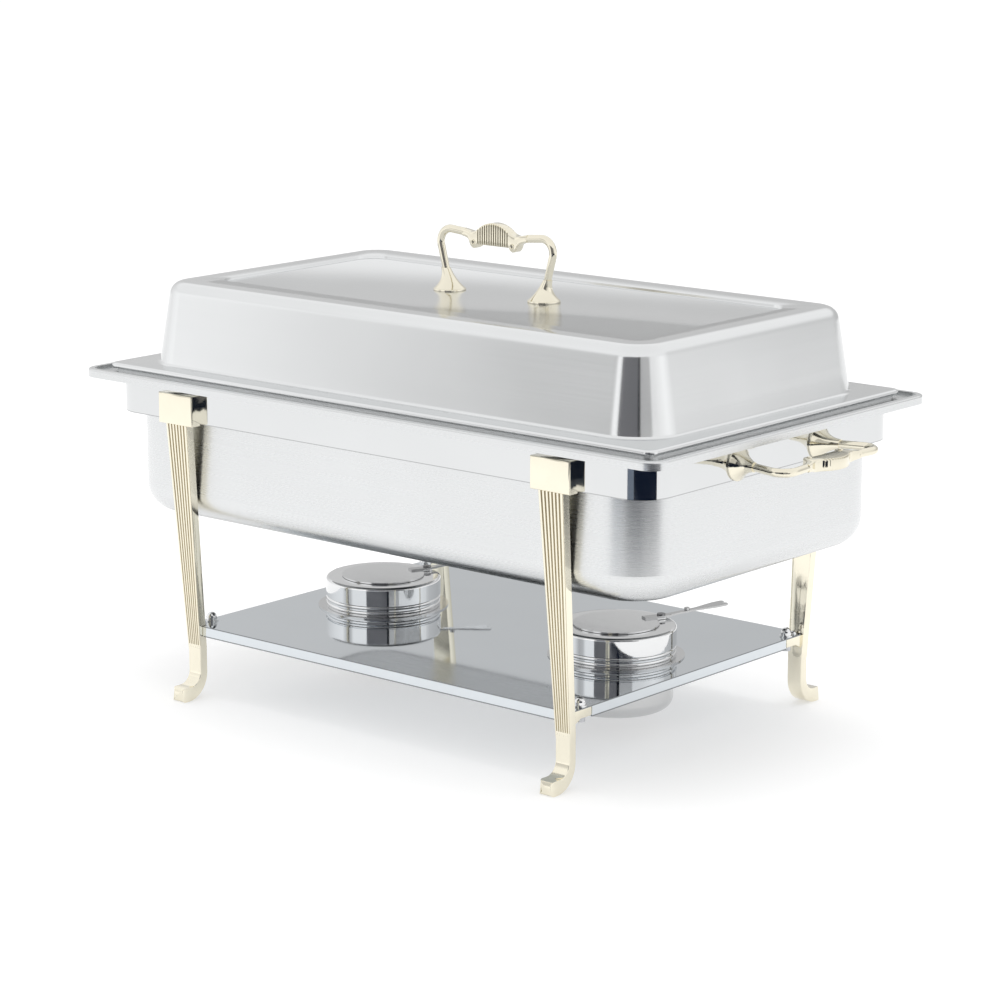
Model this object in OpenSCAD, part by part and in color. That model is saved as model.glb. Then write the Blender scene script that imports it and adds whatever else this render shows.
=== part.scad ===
// Lift-off cover chafer: footed stand, water pan, food pan, cover and two fuel holders.
// Millimetres. Origin at the bottom centre, +Z up, -Y is the front, +X the right end.

/* [Stand] */
// Half length of the support band, outside
band_half_l = 284.9; // [240:0.1:320]
// Half depth of the support band, outside
band_half_d = 164.4; // [130:0.1:200]
// Corner radius of the support band, outside
band_corner = 28; // [10:0.5:45]
// Bottom edge of the support band
band_bottom = 238; // [220:0.5:250]
// Top edge of the support band, where the water pan flange rests
band_top = 269.4; // [255:0.1:280]
// Sheet thickness of the support band
band_sheet = 1.2; // [0.8:0.1:3]

/* [Legs] */
// Distance of each leg centre line from the middle, along X
leg_x = 199.6; // [150:0.1:240]
// Width of the fluted face at the top
leg_width_top = 24; // [16:0.5:30]
// Width of the leg at the foot
leg_width_foot = 13.6; // [10:0.1:20]
// Thickness of the leg from front to back
leg_thick = 8; // [5:0.5:12]
// Outer face of the leg at the top, measured from the middle along Y
leg_out_top = 173; // [165:0.5:180]
// Outer face of the leg above the foot, measured from the middle along Y
leg_out_foot = 157; // [145:0.5:170]
// How far the toe reaches from the middle along Y
toe_out = 177.6; // [165:0.1:190]
// Height of the toe
toe_height = 12; // [8:0.5:20]
// Number of flutes on the face of each leg
flute_count = 6; // [3:1:8]
// Width of the square block at the top of each leg
block_width = 38.6; // [30:0.2:46]
// Height of the block
block_height = 25.8; // [18:0.2:30]
// Thickness of the block
block_thick = 9.8; // [6:0.2:14]

/* [Shelf] */
// Half length of the shelf
shelf_half_l = 205.4; // [190:0.1:220]
// Half depth of the shelf
shelf_half_d = 154.3; // [140:0.1:160]
// Height of the shelf top
shelf_top = 62.4; // [45:0.1:80]
// Depth of the turned-down lip of the shelf
shelf_lip = 9.1; // [5:0.1:15]
// Sheet thickness of the shelf
shelf_sheet = 1; // [0.8:0.1:3]

/* [Water pan] */
// Half length of the water pan rim, outside
rim_half_l = 304.5; // [280:0.1:330]
// Half depth of the water pan rim, outside
rim_half_d = 181; // [160:0.1:200]
// Corner radius of the rim, outside
rim_corner = 15.3; // [8:0.1:30]
// Half length of the water pan body, outside
water_half_l = 278.5; // [250:0.1:283]
// Half depth of the water pan body, outside
water_half_d = 158.4; // [130:0.1:162]
// Corner radius of the water pan body
water_corner = 48; // [30:0.5:70]
// Underside of the water pan
water_bottom = 152; // [130:0.5:180]
// Radius between the walls and the bottom of the water pan
water_fillet = 24; // [10:0.5:40]

/* [Food pan] */
// Half length of the food pan rim, outside
food_rim_l = 285.5; // [270:0.1:287]
// Half depth of the food pan rim, outside
food_rim_d = 161.5; // [150:0.1:163]
// Half length of the food pan body, outside
food_half_l = 266; // [240:0.5:272]
// Half depth of the food pan body, outside
food_half_d = 143; // [120:0.5:150]
// Underside of the food pan
food_bottom = 211; // [190:0.5:240]

/* [Cover] */
// Half length of the cover flange, outside
cover_half_l = 288.3; // [270:0.1:300]
// Half depth of the cover flange, outside
cover_half_d = 164.7; // [150:0.1:175]
// Half length of the cover wall at its base
dome_half_l = 268.5; // [250:0.1:280]
// Half depth of the cover wall at its base
dome_half_d = 145.5; // [130:0.1:155]
// Corner radius of the cover wall at its base
dome_corner = 38; // [25:0.5:60]
// Top of the flange
flange_top = 277.7; // [270:0.1:285]
// Top of the cover border
cover_top = 346.2; // [320:0.1:380]
// Lean of the cover wall, in degrees from upright
wall_lean = 9.2; // [2:0.1:20]
// Radius between the cover wall and its top
dome_fillet = 12; // [5:0.5:25]
// Half length of the sunken panel in the cover top
panel_half_l = 226; // [180:0.5:240]
// Half depth of the sunken panel in the cover top
panel_half_d = 96.3; // [70:0.1:110]
// How far the panel is sunk
panel_sink = 2.7; // [1:0.1:5]

/* [Handles] */
// Distance between the feet of the cover handle
cover_span = 101; // [80:0.5:130]
// Distance between the feet of the end handles
end_span = 106; // [80:0.5:130]
// Height of the end handles above the resting plane
end_height = 250.6; // [244:0.1:258]
// Diameter of each handle foot
foot_dia = 27.2; // [20:0.2:34]
// Radius of the round bar
bar_r = 3.3; // [2:0.1:4]

/* [Fuel holders] */
// Distance of each fuel holder from the middle, along X
holder_x = 127.5; // [100:0.5:150]
// Diameter of the fuel cup flange
cup_flange_dia = 111.8; // [100:0.2:125]
// Outside diameter of the fuel cup
cup_dia = 93.8; // [80:0.2:98]
// Underside of the fuel cup
cup_bottom = 19.5; // [10:0.5:40]
// Outside diameter of the fuel holder cover
hood_dia = 98.6; // [90:0.2:108]
// Top of the fuel holder cover
hood_top = 88; // [80:0.1:100]
// Diameter of the opening in the fuel holder cover
hood_hole_dia = 46; // [30:0.5:60]
// Diameter of the damper disc
disc_dia = 70.4; // [56:0.2:80]
// Distance of the damper pivot from the holder axis
pivot_r = 41; // [38:0.1:44]
// Direction of the damper lever, in degrees from the right end
lever_dir = 65; // [30:1:90]
// How far the lever reaches from the holder axis
lever_reach = 103; // [80:0.5:120]
// Lift of the lever, in degrees
lever_rise = 5; // [0:0.5:10]

/* [Hidden] */
$fn = 64;
sheet = 1;
ledge_z = band_top + 1.2;
rim_top = ledge_z + 2.6;
food_top = flange_top - 1.2;
panel_z = cover_top - panel_sink;
block_z = band_bottom - 1.6;
seat_z = shelf_top + 1;
hood_r = hood_dia / 2;
disc_z = hood_top + 0.3;
disc_top = disc_z + 1.2;
bend_r = 11.2;
foot_z = 40;
heel_r = 22;
instep_r = 11;
flute_r = 0.95;
flute_z = 46;
lug_y = 129;
lug_seat_y = 142;
lug_depth = 12;
lug_seat_depth = 7;
notch_x = 8.2;
notch_y = 149.6;
lip_notch_y = 128.4;
food_corner = 42;
food_fillet = 14;
food_sheet = 0.9;
food_edge_r = 9;
nut_y = 136;
pin_y = 146.5;
screw_dx = 11;
wall_c = dome_corner * cos(wall_lean) + flange_top * sin(wall_lean);

// ---------- shared shapes ----------

// Rounded rectangle, half sizes a and b, corner radius r.
module plate2d(a, b, r) {
    square([2 * (a - r), 2 * b], center = true);
    square([2 * a, 2 * (b - r)], center = true);
    for (sx = [-1, 1])
        for (sy = [-1, 1])
            translate([sx * (a - r), sy * (b - r)])
                circle(r, $fn = 96);
}

module plate(a, b, r, z0, z1) {
    translate([0, 0, z0])
        linear_extrude(z1 - z0)
            plate2d(a, b, r);
}

// Sweeps a half profile (x out from the corner axis, y up) round a rounded rectangle.
// ax and ay place the corner axes; z0 and z1 fill the middle.
module swept(ax, ay, z0, z1) {
    translate([-ax, -ay, z0])
        cube([2 * ax, 2 * ay, z1 - z0]);
    for (k = [0:3])
        translate([(k == 0 || k == 3) ? ax : -ax, k < 2 ? ay : -ay, 0])
            rotate([0, 0, 90 * k])
                rotate_extrude(angle = 90, $fn = 96)
                    children();
    for (k = [0, 2])
        rotate([0, 0, 90 * k])
            translate([ax, 0, 0])
                rotate([90, 0, 0])
                    linear_extrude(2 * ay, center = true)
                        children();
    for (k = [1, 3])
        rotate([0, 0, 90 * k])
            translate([ay, 0, 0])
                rotate([90, 0, 0])
                    linear_extrude(2 * ax, center = true)
                        children();
}

// Half profile of an upright wall with a rounded foot.
module tub_profile(x, z0, z1, r) {
    square_at(0, z0 + r, x, z1);
    square_at(0, z0, x - r, z0 + r);
    translate([x - r, z0 + r])
        circle(r, $fn = 96);
}

module square_at(x0, y0, x1, y1) {
    translate([x0, y0])
        square([x1 - x0, y1 - y0]);
}

// Pan-head screw pointing along +Z, head below z = 0.
module screw(len, r, head_r, head_h) {
    cylinder(h = len, r = r);
    translate([0, 0, -head_h])
        cylinder(h = head_h, r = head_r);
}

module washer(r, hole_r, h) {
    difference() {
        cylinder(h = h, r = r);
        translate([0, 0, -1])
            cylinder(h = h + 2, r = hole_r);
    }
}

// Mirrors its children into the corner given by the two signs.
module corner(sx, sy) {
    mirror([sx < 0 ? 1 : 0, 0, 0])
        mirror([0, sy < 0 ? 1 : 0, 0])
            children();
}

// ---------- handle casting, standing on z = 0 along X ----------

module handle_foot() {
    difference() {
        cylinder(h = 16, r = foot_dia / 2);
        rotate_extrude($fn = 96)
            difference() {
                square_at(4.2, 1.6, foot_dia, 17);
                square_at(0, 0, 4.2, 18);
                handle_flare();
            }
        translate([0, 0, -1])
            cylinder(h = 11, r = 2.6);
    }
}

// Concave flank of the foot, as the solid side of an arc.
module handle_flare() {
    difference() {
        square_at(0, 0, foot_dia / 2 - 0.4, 16.5);
        translate([27.8, 20.8])
            circle(24, $fn = 128);
    }
}

// Arm up from the foot, bend, and bar in to the knuckle.
// The arm and the bar run square out of the ends of the slightly thicker bend.
module handle_arm(half) {
    lean = 20;
    droop = 5;
    translate([half - 1, 0, 40])
        rotate([90, 0, 0]) {
            rotate([0, 0, -lean])
                rotate_extrude(angle = lean + 90 + droop, $fn = 64)
                    translate([bend_r, 0])
                        circle(bar_r + 0.2);
            rotate([0, 0, -lean])
                translate([bend_r, 1, 0])
                    rotate([90, 0, 0])
                        cylinder(h = 26, r = bar_r);
            rotate([0, 0, 90 + droop])
                translate([bend_r, -1, 0])
                    rotate([-90, 0, 0])
                        cylinder(h = half - 15, r = bar_r);
        }
}

module knuckle2d() {
    intersection() {
        translate([0, 34.4])
            circle(25.6, $fn = 128);
        square_at(-20, 41, 20, 61);
    }
    for (s = [-1, 1])
        translate([s * 20.3, 42.6])
            circle(4.9);
    square_at(-20.3, 42.6, 20.3, 49);
}

module knuckle() {
    difference() {
        rotate([90, 0, 0])
            linear_extrude(10, center = true)
                knuckle2d();
        for (s = [-1, 1])
            for (i = [-6:6])
                translate([i * 2.4, s * 5.25, 36])
                    cylinder(h = 28, r = 0.75, $fn = 24);
    }
    for (s = [-1, 1])
        translate([s * 20.3, 0, 42.6])
            rotate([90, 0, 0])
                cylinder(h = 12, r = 2.4, center = true);
}

module handle_cast(span) {
    for (s = [0, 1])
        mirror([s, 0, 0]) {
            translate([span / 2, 0, 0])
                handle_foot();
            handle_arm(span / 2);
        }
    knuckle();
}

module end_handle(side) {
    corner(side, 1)
        translate([band_half_l, 0, end_height])
            rotate([0, 90, 0])
                rotate([0, 0, 90])
                    handle_cast(end_span);
}

// ---------- stand ----------

module support_band() {
    color([0.80, 0.82, 0.85])
        difference() {
            plate(band_half_l, band_half_d, band_corner, band_bottom, band_top);
            plate(band_half_l - band_sheet, band_half_d - band_sheet, band_corner - band_sheet,
                band_bottom - 1, band_top + 1);
            for (sx = [-1, 1])
                for (dx = [-1, 1])
                    translate([sx * leg_x + dx * screw_dx, 0, block_z + block_height / 2])
                        rotate([90, 0, 0])
                            cylinder(h = 400, r = 2.8, center = true);
            for (s = [-1, 1])
                translate([0, s * end_span / 2, end_height])
                    rotate([0, 90, 0])
                        cylinder(h = 700, r = 2.8, center = true);
        }
}

// Side outline of the leg: x is the distance out from the middle, y is height.
module leg_side2d() {
    inside = leg_out_foot - leg_thick;
    polygon([
        [leg_out_foot, foot_z], [leg_out_top, block_z + 0.5],
        [leg_out_top - leg_thick, block_z + 0.5], [leg_out_foot - leg_thick, foot_z]
    ]);
    difference() {
        square_at(inside, 0, toe_out, foot_z + 1);
        square_at(leg_out_foot + instep_r, toe_height, toe_out + 1, foot_z + 2);
        square_at(leg_out_foot, toe_height + instep_r, toe_out + 1, foot_z + 2);
        translate([leg_out_foot + instep_r, toe_height + instep_r])
            circle(instep_r, $fn = 96);
        difference() {
            square_at(inside - 1, -1, inside + heel_r, heel_r);
            translate([inside + heel_r, heel_r])
                circle(heel_r, $fn = 96);
        }
    }
}

// Front outline of the leg about its own centre line.
module leg_front2d() {
    polygon([
        [-leg_width_foot / 2, -1], [leg_width_foot / 2, -1], [leg_width_foot / 2 + 0.4, flute_z - 1],
        [leg_width_top / 2, block_z + 1], [-leg_width_top / 2, block_z + 1],
        [-leg_width_foot / 2 - 0.4, flute_z - 1]
    ]);
}

// One groove of the fluted face; t runs from -1 to 1 across the leg.
module flute(t) {
    x0 = t * (leg_width_foot / 2 - 1.6);
    x1 = t * (leg_width_top / 2 - 2.6);
    y0 = leg_out_foot + 0.35;
    y1 = leg_out_top + 0.35;
    z0 = flute_z;
    z1 = block_z;
    run = sqrt((x1 - x0) * (x1 - x0) + (y1 - y0) * (y1 - y0));
    translate([x0, y0, z0])
        rotate([0, 0, atan2(y1 - y0, x1 - x0)])
            rotate([0, atan2(run, z1 - z0), 0])
                cylinder(h = sqrt(run * run + (z1 - z0) * (z1 - z0)), r = flute_r, $fn = 24);
}

module leg_cast() {
    difference() {
        union() {
            intersection() {
                rotate([90, 0, 90])
                    linear_extrude(60, center = true)
                        leg_side2d();
                rotate([90, 0, 0])
                    linear_extrude(500, center = true)
                        leg_front2d();
            }
            leg_block();
            leg_lug();
        }
        for (i = [0:flute_count - 1])
            flute(-1 + 2 * i / (flute_count - 1));
        for (dx = [-1, 1])
            translate([dx * screw_dx, band_half_d - 1, block_z + block_height / 2])
                rotate([-90, 0, 0])
                    cylinder(h = 8, r = 2.6);
        translate([0, nut_y, 30])
            cylinder(h = 40, r = 2.2);
        translate([0, pin_y, shelf_top - shelf_sheet - 4])
            cylinder(h = 20, r = 1.5);
    }
}

// Square block that clamps the band, with its edges eased.
module leg_block() {
    w = block_width / 2;
    c = 0.9;
    translate([0, 0, block_z])
        linear_extrude(block_height)
            polygon([
                [-w, band_half_d], [w, band_half_d], [w, band_half_d + block_thick - c],
                [w - c, band_half_d + block_thick], [c - w, band_half_d + block_thick],
                [-w, band_half_d + block_thick - c]
            ]);
}

// Lug under the shelf corner.
module leg_lug() {
    y1 = leg_out_foot - leg_thick + 3;
    z1 = shelf_top - shelf_sheet;
    rotate([90, 0, 90])
        linear_extrude(12, center = true)
            polygon([
                [lug_y, z1], [lug_y, z1 - lug_seat_depth], [lug_seat_y, z1 - lug_seat_depth],
                [y1, z1 - lug_depth], [y1, z1]
            ]);
}

module leg(sx, sy) {
    corner(sx, sy)
        translate([leg_x, 0, 0])
            leg_cast();
}

module leg_front_left() {
    color([0.83, 0.76, 0.60])
        leg(-1, -1);
}

module leg_front_right() {
    color([0.83, 0.76, 0.60])
        leg(1, -1);
}

module leg_rear_left() {
    color([0.83, 0.76, 0.60])
        leg(-1, 1);
}

module leg_rear_right() {
    color([0.83, 0.76, 0.60])
        leg(1, 1);
}

module leg_backing_plates() {
    color([0.62, 0.64, 0.66])
        for (sx = [-1, 1])
            for (sy = [-1, 1])
                corner(sx, sy)
                    difference() {
                        translate([leg_x - 17, band_half_d - band_sheet - 1.5, block_z + 3.4])
                            cube([34, 1.5, block_height - 6.8]);
                        for (dx = [-1, 1])
                            translate([leg_x + dx * screw_dx, 100, block_z + block_height / 2])
                                rotate([-90, 0, 0])
                                    cylinder(h = 100, r = 2.8);
                    }
}

module leg_screws() {
    color([0.55, 0.56, 0.58])
        for (sx = [-1, 1])
            for (sy = [-1, 1])
                corner(sx, sy)
                    for (dx = [-1, 1])
                        translate([leg_x + dx * screw_dx, band_half_d - band_sheet - 1.5,
                            block_z + block_height / 2])
                            rotate([-90, 0, 0])
                                screw(8.9, 2.4, 4.6, 2.1);
}

module shelf() {
    a = shelf_half_l;
    b = shelf_half_d;
    z0 = shelf_top - shelf_lip;
    z1 = shelf_top - shelf_sheet;
    color([0.74, 0.76, 0.79])
        difference() {
            translate([-a, -b, z0])
                cube([2 * a, 2 * b, shelf_lip]);
            translate([shelf_sheet - a, shelf_sheet - b, z0 - 1])
                cube([2 * (a - shelf_sheet), 2 * (b - shelf_sheet), z1 - z0 + 1]);
            for (sx = [-1, 1])
                for (sy = [-1, 1])
                    corner(sx, sy) {
                        translate([leg_x - notch_x, notch_y, z0 - 1])
                            cube([40, 20, 20]);
                        translate([leg_x - notch_x, lip_notch_y, z0 - 1])
                            cube([40, 40, z1 - z0 + 1]);
                        translate([leg_x, nut_y, z0])
                            cylinder(h = 20, r = 2.5);
                        translate([leg_x, pin_y, z0])
                            cylinder(h = 20, r = 1.7);
                    }
            for (s = [-1, 1])
                translate([s * holder_x, 0, z0 - 1])
                    cylinder(h = 20, r = cup_dia / 2 + 0.9, $fn = 128);
        }
}

module shelf_screws() {
    z0 = shelf_top - shelf_sheet - 11;
    color([0.55, 0.56, 0.58])
        for (sx = [-1, 1])
            for (sy = [-1, 1])
                corner(sx, sy)
                    translate([leg_x, nut_y, z0]) {
                        cylinder(h = shelf_top + 3.6 - z0, r = 2);
                        cylinder(h = 4, r = 4.2);
                    }
}

module shelf_cap_nuts() {
    color([0.80, 0.81, 0.83])
        for (sx = [-1, 1])
            for (sy = [-1, 1])
                corner(sx, sy)
                    translate([leg_x, nut_y, shelf_top])
                        difference() {
                            union() {
                                cylinder(h = 1, r = 5.6);
                                cylinder(h = 3.4, r = 4.6);
                                translate([0, 0, 3.4])
                                    intersection() {
                                        sphere(4.2);
                                        cylinder(h = 6, r = 6);
                                    }
                            }
                            translate([0, 0, -1])
                                cylinder(h = 5, r = 2.2);
                        }
}

module shelf_pins() {
    color([0.80, 0.81, 0.83])
        for (sx = [-1, 1])
            for (sy = [-1, 1])
                corner(sx, sy)
                    translate([leg_x, pin_y, shelf_top]) {
                        translate([0, 0, -4.6])
                            cylinder(h = 5, r = 1.4);
                        intersection() {
                            translate([0, 0, -0.4])
                                sphere(3);
                            cylinder(h = 6, r = 6);
                        }
                    }
}

module end_handle_left() {
    color([0.85, 0.79, 0.64])
        end_handle(-1);
}

module end_handle_right() {
    color([0.85, 0.79, 0.64])
        end_handle(1);
}

module end_handle_screws() {
    color([0.55, 0.56, 0.58])
        for (sx = [-1, 1])
            for (sy = [-1, 1])
                corner(sx, sy)
                    translate([band_half_l - band_sheet - 1, end_span / 2, end_height])
                        rotate([0, 90, 0])
                            screw(10.8, 2.4, 4.6, 2.4);
}

module end_handle_washers() {
    color([0.62, 0.64, 0.66])
        for (sx = [-1, 1])
            for (sy = [-1, 1])
                corner(sx, sy)
                    translate([band_half_l - band_sheet - 1, end_span / 2, end_height])
                        rotate([0, 90, 0])
                            washer(7, 2.7, 1);
}

// ---------- water pan ----------

module rim_profile() {
    square_at(0, band_top, rim_corner - 4.4, ledge_z);
    square_at(rim_corner - 5.6, band_top, rim_corner - 4.4, rim_top);
    square_at(rim_corner - 5.6, rim_top - 1.2, rim_corner - 1.6, rim_top);
    square_at(rim_corner - 1.2, rim_top - 6.8, rim_corner, rim_top - 1.6);
    difference() {
        translate([rim_corner - 1.6, rim_top - 1.6])
            circle(1.6, $fn = 48);
        square_at(rim_corner - 4, rim_top - 4, rim_corner - 1.2, rim_top - 1.2);
    }
}

module water_pan() {
    ax = water_half_l - water_corner;
    ay = water_half_d - water_corner;
    color([0.78, 0.80, 0.82])
        difference() {
            union() {
                swept(ax, ay, water_bottom, band_top + 0.6)
                    tub_profile(water_corner, water_bottom, band_top + 0.6, water_fillet);
                swept(rim_half_l - rim_corner, rim_half_d - rim_corner, band_top, ledge_z)
                    rim_profile();
            }
            swept(ax, ay, water_bottom + sheet, ledge_z + 1)
                tub_profile(water_corner - sheet, water_bottom + sheet, ledge_z + 1,
                    water_fillet - sheet);
        }
}

// ---------- food pan ----------

module food_pan() {
    ax = food_half_l - food_corner;
    ay = food_half_d - food_corner;
    color([0.72, 0.74, 0.76])
        difference() {
            union() {
                swept(ax, ay, food_bottom, food_top - 0.5)
                    tub_profile(food_corner, food_bottom, food_top - 0.5, food_fillet);
                plate(food_rim_l, food_rim_d, food_edge_r, food_top - 1, food_top);
                food_rim_edge();
            }
            swept(ax, ay, food_bottom + food_sheet, food_top + 1)
                tub_profile(food_corner - food_sheet, food_bottom + food_sheet, food_top + 1,
                    food_fillet - food_sheet);
        }
}

// Turned-down edge of the food pan, which stands on the ledge of the water pan.
module food_rim_edge() {
    difference() {
        plate(food_rim_l, food_rim_d, food_edge_r, ledge_z, food_top - 0.5);
        plate(food_rim_l - food_sheet, food_rim_d - food_sheet, food_edge_r - food_sheet,
            ledge_z - 1, food_top);
    }
}

// ---------- cover ----------

// Half profile of the leaning cover wall; t is the distance in from the outside.
module dome_profile(t, z0) {
    r = dome_fillet - t;
    zc = cover_top - dome_fillet;
    xc = (wall_c - dome_fillet - zc * sin(wall_lean)) / cos(wall_lean);
    x0 = (wall_c - t - z0 * sin(wall_lean)) / cos(wall_lean);
    polygon([
        [0, z0], [x0, z0], [xc + r * cos(wall_lean), zc + r * sin(wall_lean)], [xc, zc],
        [xc, cover_top - t], [0, cover_top - t]
    ]);
    translate([xc, zc])
        circle(r, $fn = 96);
}

module cover_shell() {
    ax = dome_half_l - dome_corner;
    ay = dome_half_d - dome_corner;
    color([0.80, 0.82, 0.84])
        difference() {
            union() {
                swept(ax, ay, food_top, cover_top)
                    dome_profile(0, food_top);
                plate(cover_half_l, cover_half_d, 8, flange_top - 4.5, flange_top);
            }
            plate(cover_half_l - 1.2, cover_half_d - 1.2, 6.8, flange_top - 6, food_top);
            difference() {
                swept(ax, ay, food_top - 1, cover_top - sheet)
                    dome_profile(sheet, food_top - 1);
                plate(panel_half_l + sheet, panel_half_d + sheet, 19, panel_z - sheet, cover_top);
            }
            plate(panel_half_l, panel_half_d, 18, panel_z, cover_top + 1);
            for (s = [-1, 1])
                translate([s * cover_span / 2, 0, panel_z - 5])
                    cylinder(h = 10, r = 2.8);
        }
}

module cover_handle() {
    color([0.85, 0.79, 0.64])
        translate([0, 0, panel_z])
            handle_cast(cover_span);
}

module cover_handle_screws() {
    color([0.55, 0.56, 0.58])
        for (s = [-1, 1])
            translate([s * cover_span / 2, 0, panel_z - sheet - 1])
                screw(10.8, 2.4, 4.6, 2.6);
}

module cover_handle_washers() {
    color([0.62, 0.64, 0.66])
        for (s = [-1, 1])
            translate([s * cover_span / 2, 0, panel_z - sheet - 1])
                washer(8, 2.7, 1);
}

// ---------- fuel holders ----------

module fuel_cup(s) {
    r = cup_dia / 2;
    translate([s * holder_x, 0, 0])
        rotate_extrude($fn = 128)
            difference() {
                union() {
                    square_at(0, cup_bottom + 10, r, seat_z + 5);
                    square_at(0, cup_bottom, r - 10, cup_bottom + 11);
                    translate([r - 10, cup_bottom + 10])
                        circle(10);
                    square_at(r - 0.5, shelf_top, cup_flange_dia / 2, seat_z);
                }
                square_at(-1, cup_bottom + 10, r - 0.8, seat_z + 6);
                square_at(-1, cup_bottom + 0.8, r - 10, cup_bottom + 11);
                translate([r - 10, cup_bottom + 10])
                    circle(9.2);
                square_at(-20, cup_bottom - 5, 0, seat_z + 8);
            }
}

module fuel_cup_left() {
    color([0.76, 0.77, 0.79])
        fuel_cup(-1);
}

module fuel_cup_right() {
    color([0.76, 0.77, 0.79])
        fuel_cup(1);
}

// Hood that sits over the collar of the cup: band, two beads, flat top with an opening.
module fuel_hood(s) {
    translate([s * holder_x, 0, 0])
        difference() {
            rotate_extrude($fn = 128)
                difference() {
                    union() {
                        square_at(hood_hole_dia / 2, hood_top - 1, hood_r - 2.4, hood_top);
                        translate([hood_r - 2.4, hood_top - 2.4])
                            circle(2.4);
                        square_at(hood_r - 1.2, 72.8, hood_r, hood_top - 2.4);
                        square_at(hood_r - 1.6, seat_z, hood_r - 0.9, 73.4);
                        translate([hood_r - 2.3, 70.2])
                            circle(2.1);
                        translate([hood_r - 2.3, 65.7])
                            circle(2.1);
                    }
                    square_at(hood_hole_dia / 2 - 1, seat_z - 3, hood_r - 1.6, hood_top - 2.4);
                    square_at(hood_hole_dia / 2 - 1, hood_top - 4, hood_r - 2.4, hood_top - 1);
                    translate([hood_r - 2.4, hood_top - 2.4])
                        circle(1.4);
                    square_at(hood_r - 6, seat_z - 4, hood_r + 1, seat_z);
                }
            pivot_at()
                translate([0, 0, hood_top - 5])
                    cylinder(h = 10, r = 2.1);
        }
}

module fuel_hood_left() {
    color([0.78, 0.79, 0.81])
        fuel_hood(-1);
}

module fuel_hood_right() {
    color([0.78, 0.79, 0.81])
        fuel_hood(1);
}

// Moves to the damper pivot, with +X along the lever.
module pivot_at() {
    rotate([0, 0, lever_dir])
        translate([pivot_r, 0, 0])
            children();
}

module damper_disc(s) {
    translate([s * holder_x, 0, disc_z])
        difference() {
            linear_extrude(1.2) {
                circle(disc_dia / 2, $fn = 128);
                rotate(lever_dir) {
                    translate([pivot_r, 0])
                        circle(4.6);
                    square_at(24, -4.6, pivot_r, 4.6);
                }
            }
            pivot_at()
                translate([0, 0, -1])
                    cylinder(h = 4, r = 2.4);
        }
}

module damper_disc_left() {
    color([0.72, 0.73, 0.75])
        damper_disc(-1);
}

module damper_disc_right() {
    color([0.72, 0.73, 0.75])
        damper_disc(1);
}

// Strip lever: flat foot on the disc, rising arm, thumb stop and notched paddle.
module damper_lever(s) {
    len = lever_reach - pivot_r - 6;
    translate([s * holder_x, 0, disc_top])
        rotate([0, 0, lever_dir]) {
            difference() {
                translate([25, -3.6, 0])
                    cube([pivot_r - 25 + 8, 7.2, 1.4]);
                translate([pivot_r, 0, -1])
                    cylinder(h = 4, r = 2.4);
            }
            translate([pivot_r + 6, 0, 0])
                rotate([0, -lever_rise, 0]) {
                    lever_blade(len);
                    translate([18, 0, 1.4])
                        cylinder(h = 2.2, r = 2.2);
                }
        }
}

module lever_blade(len) {
    difference() {
        linear_extrude(1.4) {
            square_at(0, -2.6, len - 10, 2.6);
            polygon([
                [len - 30, -2.6], [len - 12, -6.2], [len - 5, -6.2], [len - 5, 6.2],
                [len - 12, 6.2], [len - 30, 2.6]
            ]);
            for (t = [-1, 1])
                translate([len - 5, t * 3.4])
                    circle(2.8);
        }
        translate([len, 0, -1])
            cylinder(h = 4, r = 2.2);
    }
}

module damper_lever_left() {
    color([0.78, 0.79, 0.80])
        damper_lever(-1);
}

module damper_lever_right() {
    color([0.78, 0.79, 0.80])
        damper_lever(1);
}

module damper_rivet(s) {
    z0 = hood_top - 2.2;
    translate([s * holder_x, 0, 0])
        pivot_at() {
            translate([0, 0, z0])
                cylinder(h = disc_top + 1.6 - z0, r = 2);
            translate([0, 0, disc_top + 1.5])
                cylinder(h = 1.2, r = 3.4);
            translate([0, 0, z0])
                cylinder(h = 1.2, r = 3.2);
        }
}

module damper_rivet_left() {
    color([0.40, 0.40, 0.42])
        damper_rivet(-1);
}

module damper_rivet_right() {
    color([0.40, 0.40, 0.42])
        damper_rivet(1);
}

// ---------- output ----------

support_band();
leg_front_left();
leg_front_right();
leg_rear_left();
leg_rear_right();
leg_backing_plates();
leg_screws();
shelf();
shelf_screws();
shelf_cap_nuts();
shelf_pins();
end_handle_left();
end_handle_right();
end_handle_screws();
end_handle_washers();
water_pan();
food_pan();
cover_shell();
cover_handle();
cover_handle_screws();
cover_handle_washers();
fuel_cup_left();
fuel_cup_right();
fuel_hood_left();
fuel_hood_right();
damper_disc_left();
damper_disc_right();
damper_lever_left();
damper_lever_right();
damper_rivet_left();
damper_rivet_right();
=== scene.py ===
"""Lift-off cover chafer, dressed around its CAD frame.

One operator makes each piece or group of like pieces, and one makes the stage.
All lengths are in metres, in the frame of the CAD part.
"""

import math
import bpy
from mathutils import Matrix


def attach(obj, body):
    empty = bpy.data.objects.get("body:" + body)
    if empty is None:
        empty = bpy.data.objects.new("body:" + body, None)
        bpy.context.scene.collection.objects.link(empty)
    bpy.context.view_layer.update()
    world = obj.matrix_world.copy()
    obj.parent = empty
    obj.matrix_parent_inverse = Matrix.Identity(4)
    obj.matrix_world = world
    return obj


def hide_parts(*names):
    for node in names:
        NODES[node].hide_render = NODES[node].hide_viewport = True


bl_info = {
    "name": "Lift-off cover chafer",
    "version": (1, 0, 0),
    "blender": (4, 5, 0),
    "location": "3D View > Sidebar > Chafer",
    "description": "Builds a buffet chafer with brass legs and handles around its CAD frame",
    "category": "Object",
}

import bmesh
import bpy
from mathutils import Vector

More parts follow.
